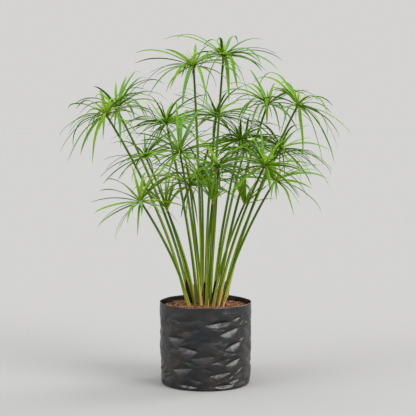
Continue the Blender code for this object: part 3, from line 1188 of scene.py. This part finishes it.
@dataclass
class Culm:
    """One leafless stem, from under the crumbs to its crown. Its lengths are in mm."""

    name: str
    sunk: float = 4.0
    sway: float = 0.8
    slim_foot: Span = (0.70, 0.88)
    slim_top: float = 0.91
    swelling: float = 0.16
    corners: float = 0.045
    ribs: float = 0.022
    rings: int = 34
    sides: int = 20
    ring_gap: float = 2.5

    def __post_init__(self) -> None:
        """Read the stem's middle line and radii from its CAD solid."""
        self.node = "stem_" + self.name
        self.chooser = random.Random("culm " + self.name)
        rings = self._read_rings()
        centres = [sum(ring, Vector()) / len(ring) for ring in rings]
        self.radii = [max((place - centre).length for place in ring)
                      for ring, centre in zip(rings, centres)]
        self.seat, self.lean = centres[-1], Path(centres).ahead(1.0)
        self.slimness = self.chooser.uniform(*self.slim_foot)
        right, back = (self.chooser.uniform(-self.sway, self.sway) for _ in range(2))
        sway = Vector((SWAYS.get(self.name, right), back, 0)) * MM
        foot, low, middle, top = centres[0], *centres[2:]
        sunk = (low - foot).normalized() * (self.sunk * MM)
        self.path = Path([foot - sunk + sway * 0.5, foot + sunk + sway * 0.6,
                          low + sway, middle + sway * 0.9, top])

    def _read_rings(self) -> list[list[Vector]]:
        """Read the rings of corners of the CAD solid.

        Returns:
            The rings, from the foot up.
        """
        solid = merged_copy(self.node)
        places = sorted((vert.co.copy() for vert in solid.verts), key=lambda place: place.z)
        solid.free()
        rings = [[places[0]]]
        for place in places[1:]:
            if place.z - rings[-1][-1].z > self.ring_gap * MM:
                rings.append([])
            rings[-1].append(place)
        return rings

    def radius(self, share: float) -> float:
        """Work out the stem's radius, which swells a little under the crown.

        Args:
            share: The share of its way.

        Returns:
            The radius in metres.
        """
        index, _, part = self.path.stretch(share)
        plain = self.radii[index] + (self.radii[index + 1] - self.radii[index]) * smooth(part, 0, 1)
        slim = self.slimness + (self.slim_top - self.slimness) * smooth(share, 0.1, 0.5)
        return plain * slim * (1.0 + self.swelling * smooth(share, 0.975, 1.0))

    def build(self, material: bpy.types.Material) -> bpy.types.Object:
        """Build the stem with its fine ribs and three blunt corners.

        Args:
            material: Its finish.

        Returns:
            Its object.
        """
        tissue = Tissue()
        turn = self.chooser.uniform(0, math.tau)

        def ribs(angle: float) -> float:
            """Return the factor on the radius for an angle."""
            return 1.0 + self.corners * math.cos(3 * angle + turn) + self.ribs * math.cos(10 * angle)

        tissue.add_round(self.path, self.radius, self.rings, self.sides, self.chooser.random(), ribs)
        return tissue.finish("culm_" + self.name, material, Slot.STEM, stands_for=self.node)

    def add_joint(self, tissue: Tissue) -> None:
        """Add the short joint under the crown.

        Args:
            tissue: The skins of all joints.
        """
        top, lean = self.path.place(1.0), self.path.ahead(1.0)
        path = Path([top + lean * (rise * MM) for rise in (-2.2, -0.8, 0.6)])
        tissue.add_round(path, lambda share: self.radii[-1] * (1.04 + 0.16 * math.sin(math.pi * share)),
                         4, 12, self.chooser.random())


@dataclass
class Blade:
    """A strap-like blade: V-shaped in section, widest before its middle, with a long fine point."""

    path: Path
    side: Callable[[float], Vector]
    width: float
    tint: float
    keel: float = 0.16
    rings: int = 17
    thickness: float = 0.42 * MM
    root: float = 0.5

    ACROSS = (-1.0, -0.55, 0.0, 0.55, 1.0)
    WIDEST = 0.26
    UNDER_RIB = 1.25

    def spread(self, share: float) -> float:
        """Work out half the width at a share of the way.

        Args:
            share: The share of the way.

        Returns:
            Half the width.
        """
        base = self.root + (1.0 - self.root) * smooth(share, 0.0, self.WIDEST)
        point = (1.0 - share**2.4) ** 0.85 if share < 1.0 else 0.0
        return self.width / 2 * base * point

    def add_to(self, tissue: Tissue) -> None:
        """Add the blade to a crown.

        Args:
            tissue: The crown's skins.
        """
        stations = self.path.stations(ring_shares(self.rings), self.side)
        corners = len(self.ACROSS) - 1

        def section(index: int, around: float) -> Spot:
            """Work out a spot of the blade: out over its upper face, back under it.

            Args:
                index: The station's number.
                around: The share of the way round.

            Returns:
                The spot.
            """
            step = round(around * 2 * corners)
            top = step <= corners
            across = self.ACROSS[step if top else 2 * corners - step]
            if index in (0, len(stations) - 1):
                return Spot(0.0, 0.0, across, 0.0)
            share = stations[index].along
            half = self.spread(share)
            fold = self.keel * (1.15 - 0.7 * share) * half * 2
            lift = fold * (abs(across) ** 1.25 - 0.45)
            if abs(across) == 1.0:
                return Spot(half * across, lift, across, 0.0)
            skin = self.thickness / 2 * (self.UNDER_RIB if across == 0.0 and not top else 1.0)
            skin *= min(1.0, half / (0.6 * MM))
            return Spot(half * across, lift + (skin if top else -skin), across, 1.0 if top else -1.0)

        tissue.wrap(stations, 2 * corners, section, self.tint)


@dataclass(frozen=True)
class Tuft:
    """The thin bracts of one kind in a crown. Lengths and widths in mm, angles in degrees."""

    count: int
    length: Span
    rise: Span
    droop: Span
    width: Span
    tint: Span
    lean: Span = (18, 55)
    keel: float = 0.22
    rings: int = 13


@dataclass(frozen=True)
class CrownHabit:
    """What a crown of one age looks like.

    Its shade, factors on its hub's size and on its main bracts' width at the hub, its thin bracts
    between the main ones, and its shorter ones: those that hang and the rays.
    """

    shade: float
    hub: float
    root: float
    between: Tuft
    short: tuple[Tuft, ...]


HANGING = ((26, 46), (-35, 5), (25, 50), (1.8, 3.0), (0.62, 0.98))
HABITS = {
    Age.ARCHING: CrownHabit(
        0.34, 1.0, 0.5,
        Tuft(7, (60, 108), (-12, 44), (36, 75), (2.2, 4.4), (0.20, 0.66)),
        (Tuft(3, *HANGING),
         Tuft(20, (14, 34), (30, 86), (-6, 20), (1.1, 2.0), (0.75, 1.05), (0, 20), 0.3, 7))),
    Age.OPEN: CrownHabit(
        0.32, 0.9, 0.45,
        Tuft(21, (60, 110), (-22, 44), (28, 58), (2.2, 4.6), (0.17, 0.66)),
        (Tuft(1, *HANGING),
         Tuft(18, (10, 28), (24, 86), (-6, 20), (1.1, 2.0), (0.75, 1.05), (0, 20), 0.3, 7))),
    Age.YOUNG: CrownHabit(
        0.58, 0.55, 0.18,
        Tuft(5, (40, 68), (30, 70), (8, 18), (2.2, 4.2), (0.45, 0.85)),
        (Tuft(6, (14, 34), (66, 88), (-6, 20), (1.1, 2.0), (0.6, 0.9), (0, 20), 0.3, 7),)),
}


@dataclass(frozen=True)
class CrownNote:
    """What sets one crown apart: factors on its thin bracts and on its widths, a shift in shade."""

    thin: float = 1.0
    width: float = 1.0
    shade: float = 0.0


NOTES = {
    "top_left": CrownNote(shade=-0.08), "top_right": CrownNote(shade=-0.1),
    "right_outer": CrownNote(shade=-0.08), "right_inner": CrownNote(shade=-0.06),
    "left_low": CrownNote(0.5, 1.35, 0.14), "right_low": CrownNote(0.5, 1.0, 0.12),
    "rear_left_low": CrownNote(0.6, 1.1, -0.08), "middle_right": CrownNote(1.0, 1.12, -0.2),
    "front_left": CrownNote(1.0, 1.12, -0.12), "front_right": CrownNote(1.1, 0.8, -0.12),
    "front_middle": CrownNote(1.0, 0.8, -0.05), "young_left": CrownNote(1.0, 1.1, 0.0),
    "young_middle": CrownNote(1.0, 1.1, -0.05), "young_right": CrownNote(1.0, 1.2, 0.05),
}


class CadBract:
    """A main bract read from the corners of its CAD solid."""

    def __init__(self, tip: bmesh.types.BMVert, centre: bmesh.types.BMVert, hub: Vector) -> None:
        """Walk from the tip's corner down to the hub.

        Args:
            tip: The vertex at the bract's tip.
            centre: The vertex in the middle of the hub, where every bract begins.
            hub: The place that the bract's middle line starts from.
        """
        rings = []
        seen = {tip}
        ring = {edge.other_vert(tip) for edge in tip.link_edges}
        while centre not in ring and len(ring) == 3:
            rings.append(ring)
            seen |= ring
            ring = {edge.other_vert(vert) for vert in ring for edge in vert.link_edges} - seen
        read = [self._read(corners) for corners in reversed(rings)]
        self.points = [hub, *(middle for middle, _ in read), tip.co.copy()]
        self.width = max(across.length for _, across in read)
        directions = [across.normalized() for _, across in read]
        for index in range(1, len(directions)):
            if directions[index].dot(directions[index - 1]) < 0:
                directions[index].negate()
        self.directions = [directions[0], *directions, directions[-1]]

    @staticmethod
    def _read(corners: set[bmesh.types.BMVert]) -> tuple[Vector, Vector]:
        """Read a ring of left edge, keel and right edge.

        Args:
            corners: The ring's three corners, in any order.

        Returns:
            Its middle and the vector across it.
        """
        places = [vert.co for vert in corners]
        pairs = [(places[i], places[(i + 1) % 3], places[(i + 2) % 3]) for i in range(3)]
        left, right, keel = max(pairs, key=lambda pair: (pair[0] - pair[1]).length)
        return (left + right) * 0.3 + keel * 0.4, right - left

    @property
    def heading(self) -> float:
        """Return the compass heading of the bract's tip from the hub."""
        reach = self.points[-1] - self.points[0]
        return math.atan2(reach.y, reach.x)

    def side(self, path: Path) -> Callable[[float], Vector]:
        """Set up the across direction along a path, with the upper face on top.

        Args:
            path: The bract's middle line.

        Returns:
            The direction as a function of the share of the way.
        """
        sign = 1.0 if path.ahead(0.05).cross(self.directions[0]).z > 0 else -1.0
        last = len(self.directions) - 1

        def direction(share: float) -> Vector:
            """Work out the across direction between the two corners round a share of the way.

            Args:
                share: The share of the way.

            Returns:
                The direction.
            """
            index, _, part = path.stretch(share)
            before, after = (self.directions[min(index + i, last)] for i in range(2))
            return before.lerp(after, part) * sign

        return direction


@dataclass
class Crown:
    """The crown of bracts at the top of one stem. Its lengths are in mm."""

    culm: Culm
    hub_radius: float = 3.1
    hub_height: float = 5.2
    hub_centre: float = 0.62
    wave: float = 1.1
    main_widths: Span = (0.66, 1.08)
    back_painted_light: float = 0.12
    shade_spread: float = 0.2
    dry_tips: float = 0.16
    dry_bend: Span = (3, 5)
    dry_hang: Span = (4, 9)
    arching_bracts: int = 16
    young_points: int = 5
    arc_steps: int = 5
    scatter: float = 0.3
    levelling: float = 0.6
    twist: float = 0.5

    def __post_init__(self) -> None:
        """Read the main bracts from the CAD solid."""
        name = self.culm.name
        self.node = "umbel_" + name
        self.chooser = random.Random("crown " + name)
        self.draw = self.chooser.uniform
        self.tissue = Tissue()
        self.lean, self.seat = self.culm.lean, self.culm.seat
        self.hub = self.seat + self.lean * (self.hub_centre * self.hub_height * MM)
        solid = merged_copy(self.node)
        centre = max(solid.verts, key=lambda vert: len(vert.link_edges))
        tips = [vert for vert in solid.verts if len(vert.link_faces) == 3]
        self.bracts = sorted((CadBract(tip, centre, self.hub) for tip in tips),
                             key=lambda bract: bract.heading)
        solid.free()
        self.habit = HABITS[self._age()]
        self.note = NOTES.get(name, CrownNote())

    def _age(self) -> Age:
        """Tell the crown's age by how many corners its bracts have and how many there are.

        Returns:
            The age.
        """
        if len(self.bracts[0].points) < self.young_points:
            return Age.YOUNG
        return Age.ARCHING if len(self.bracts) > self.arching_bracts else Age.OPEN

    def _waved(self, bract: CadBract) -> list[Vector]:
        """Move a bract's inner points a little to the side.

        Args:
            bract: The bract.

        Returns:
            Its points, with a dry tip past some bracts' own.
        """
        first, *inner, last = bract.points
        side = bract.directions[1]
        inner = [point + side * self.draw(-self.wave * MM, self.wave * MM) for point in inner]
        points = [first, *inner, last]
        if self.chooser.random() < self.dry_tips:
            points += self._dry_tip(points)
        return points

    def _dry_tip(self, points: Sequence[Vector]) -> list[Vector]:
        """Lay out a dry, thread-like tip that hangs down.

        Args:
            points: The bract's points, up to its own tip.

        Returns:
            The places that the dry tip passes through.
        """
        onwards = (points[-1] - points[-2]).normalized()
        bend = points[-1] + (onwards * 0.8 - UP * 0.5) * (self.draw(*self.dry_bend) * MM)
        return [bend, bend + (onwards * 0.2 - UP) * (self.draw(*self.dry_hang) * MM)]

    def add_main_bracts(self) -> None:
        """Refine every bract of the CAD solid into a folded, pointed blade."""
        for bract in self.bracts:
            path = Path(self._waved(bract))
            width = bract.width * self.draw(*self.main_widths) * self.note.width
            # Painted light: bracts heading to the back are drawn lighter and those heading to the front
            # darker, standing in for how light falls on the faces seen from the front.
            back = self.back_painted_light * math.sin(bract.heading)
            own = self.draw(-self.shade_spread, self.shade_spread)
            tint = self.habit.shade + self.note.shade + back + own
            Blade(path, bract.side(path), width, tint, root=self.habit.root).add_to(self.tissue)

    def _arc(self, heading: float, rise: float, droop: float, length: float) -> Path:
        """Lay out a path that leaves the hub and bends down, with its angles in radians.

        Args:
            heading: Its heading about Z.
            rise: How steeply it leaves the hub.
            droop: How far it bends down.
            length: Its length in metres.

        Returns:
            The path.
        """
        leave, arrive = heading_vector(heading, rise), heading_vector(heading, rise - droop)
        middle = self.hub + leave * (0.55 * length)
        end = self.hub + (leave + arrive) * (0.49 * length)
        shares = [step / self.arc_steps for step in range(self.arc_steps + 1)]
        return Path([self.hub * (1 - s) ** 2 + middle * (2 * s * (1 - s)) + end * s**2
                     for s in shares])

    def _downhill(self, heading: float) -> float:
        """Return how far the leaning hub tips down towards a heading, in radians."""
        level = Vector((self.lean.x, self.lean.y, 0))
        return math.atan(level.dot(heading_vector(heading)) / self.lean.z)

    def _side(self, heading: float, roll: float) -> Callable[[float], Vector]:
        """Set up an across direction that is rolled at the hub and twists on along the way.

        Args:
            heading: The bract's heading, in radians.
            roll: Its roll at the hub, in radians.

        Returns:
            The direction as a function of the share of the way.
        """
        level = Vector((-math.sin(heading), math.cos(heading), 0.0))
        axis = heading_vector(heading)
        return lambda share: Matrix.Rotation(roll + self.twist * roll * share, 3, axis) @ level

    def add_tuft(self, tuft: Tuft, share: float = 1.0) -> None:
        """Add a crown's thin bracts of one kind, spread round the hub.

        Args:
            tuft: Their measures.
            share: The share of their number that this crown has.
        """
        for number in range(round(tuft.count * share)):
            heading = math.tau * (number * GOLDEN % 1.0) + self.draw(-self.scatter, self.scatter)
            rise = math.radians(self.draw(*tuft.rise)) - self.levelling * self._downhill(heading)
            droop = math.radians(self.draw(*tuft.droop))
            path = self._arc(heading, rise, droop, self.draw(*tuft.length) * MM)
            roll = math.radians(self.draw(*tuft.lean)) * self.chooser.choice((-1, 1))
            width = self.draw(*tuft.width) * MM
            tint = self.draw(*tuft.tint) + self.note.shade
            Blade(path, self._side(heading, roll), width, tint, tuft.keel,
                  tuft.rings).add_to(self.tissue)

    def add_hub(self) -> None:
        """Add the small swollen hub that the bracts spring from."""
        path = Path([self.seat + self.lean * (self.hub_height * MM * share) for share in (0, 0.5, 1)])
        size = self.hub_radius * MM * self.habit.hub
        self.tissue.add_round(path, lambda share: size * math.sin(math.pi * (0.25 + 0.65 * share)),
                              6, 14, 0.2)

    def build(self, material: bpy.types.Material) -> bpy.types.Object:
        """Build the crown.

        Args:
            material: Its finish.

        Returns:
            Its object.
        """
        self.add_hub()
        self.add_main_bracts()
        self.add_tuft(self.habit.between, self.note.thin)
        for tuft in self.habit.short:
            self.add_tuft(tuft)
        return self.tissue.finish("crown_" + self.culm.name, material, Slot.BRACT, True, self.node)


class Sedge:
    """The whole plant: stems, crowns, joints and sheaths."""

    def __init__(self) -> None:
        """Take the stems' names from the model."""
        self.names = sorted(node[len("stem_"):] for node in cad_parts
                            if node.startswith("stem_"))

    def build(self) -> None:
        """Build every piece of the plant and report it."""
        green, bract = StemFinish().material(), BractFinish().material()
        joints, sheaths = Tissue(), Tissue()
        for name in self.names:
            culm = Culm(name)
            report(culm.build(green))
            culm.add_joint(joints)
            for sheath in SHEATHS.get(name, Sheath.drawn(name)):
                sheath.add_to(sheaths, culm.path, culm.radius)
            report(Crown(culm).build(bract))
        report(joints.finish("crown_joints", JointFinish().material(), Slot.JOINT))
        report(sheaths.finish("foot_sheaths", SheathFinish().material(), Slot.SHEATH))


@dataclass(frozen=True)
class SoftSun:
    """A far, wide light that falls evenly on the plant and on the whole floor.

    Where it stands as seen from the plant, its width in degrees, its strength in watts a square
    metre and its colour.
    """

    name: str
    place: tuple[float, float, float]
    spread: float
    strength: float
    colour: Colour

    def add(self) -> None:
        """Put the light in the scene."""
        light = bpy.data.lights.new(self.name, "SUN")
        light.angle = math.radians(self.spread)
        light.energy = self.strength
        light.color = self.colour
        made = link(bpy.data.objects.new(self.name, light))
        made.rotation_euler = (-Vector(self.place)).to_track_quat("-Z", "Y").to_euler()


@dataclass
class Studio:
    """The pale floor, the soft lights and the camera at the photograph's place.

    Lengths are in metres, the pitch is in degrees, and the lens and the sensor are in mm.
    """

    floor_radius: float = 14.0
    floor_corners: int = 96
    eye: tuple[float, float, float] = (0.0041, -2.2, 0.486)
    pitch: float = 5.11
    lens: float = 116.8
    sensor: float = 36.0
    sky: tuple[tuple[float, Colour], ...] = ((0.12, (0.66, 0.654, 0.645)), (0.8, (2.0, 1.99, 1.86)))
    suns: tuple[SoftSun, ...] = (
        SoftSun("key", (1.55, -1.15, 1.1), 34.0, 3.1, (1.0, 0.98, 0.93)),
        SoftSun("fill", (-1.5, -0.87, 1.3), 32.0, 1.3, (0.94, 0.97, 1.0)),
        SoftSun("rim", (1.8, 1.1, 1.3), 26.0, 1.6, (1.0, 0.99, 0.94)),
    )

    def build_floor(self) -> None:
        """Build the floor, which isn't part of the object."""
        built = bmesh.new()
        bmesh.ops.create_circle(built, cap_ends=True, segments=self.floor_corners,
                                radius=self.floor_radius)
        floor = add_object("studio_floor", built, FloorFinish().material())

    def light(self) -> None:
        """Set the background, plain at the horizon and brighter above, and the softboxes."""
        world = bpy.data.worlds.new("Studio")
        world.use_nodes = True
        nodes, links = world.node_tree.nodes, world.node_tree.links
        parts = nodes.new("ShaderNodeSeparateXYZ")
        links.new(nodes.new("ShaderNodeTexCoord").outputs["Generated"], parts.inputs["Vector"])
        ramp = nodes.new("ShaderNodeValToRGB")
        for element, (position, colour) in zip(ramp.color_ramp.elements, self.sky):
            element.position = position
            element.color = (*colour, 1.0)
        links.new(parts.outputs["Z"], ramp.inputs["Fac"])
        links.new(ramp.outputs["Color"], nodes["Background"].inputs["Color"])
        bpy.context.scene.world = world
        for sun in self.suns:
            sun.add()

    def set_camera(self) -> None:
        """Put the camera where the photograph was taken from."""
        data = bpy.data.cameras.new("camera")
        data.lens = self.lens
        data.sensor_width = self.sensor
        camera = link(bpy.data.objects.new("camera", data))
        camera.location = self.eye
        camera.rotation_euler = (math.radians(90 - self.pitch), 0.0, 0.0)
        bpy.context.scene.camera = camera

    def build(self) -> None:
        """Build the studio."""
        self.build_floor()
        self.light()
        self.set_camera()
        bpy.context.scene.view_settings.view_transform = "Standard"


def report(piece: bpy.types.Object) -> None:
    """Log a piece's name and size."""
    LOG.info("%s: %d faces", piece.name, len(piece.data.polygons))


def main() -> None:
    """Build the studio, the bag, the potting mix and the plant, and note the sizes."""
    logging.basicConfig(level=logging.INFO, format="%(message)s")
    Studio().build()
    report(GrowBag().build(FilmFinish().material()))
    mix = PottingMix()
    report(mix.build_mound(MixFinish("Potting mix").material()))
    # The crumbs' dark stop is likewise partly painted shade between them.
    report(mix.build_crumbs(MixFinish("Loose crumbs", dark=(0.05, 0.019, 0.009)).material()))
    report(mix.build_fibres(MixFinish("Coir fibre", middle=(0.30, 0.15, 0.07)).material()))
    Sedge().build()


if __name__ == "__main__":
    main()
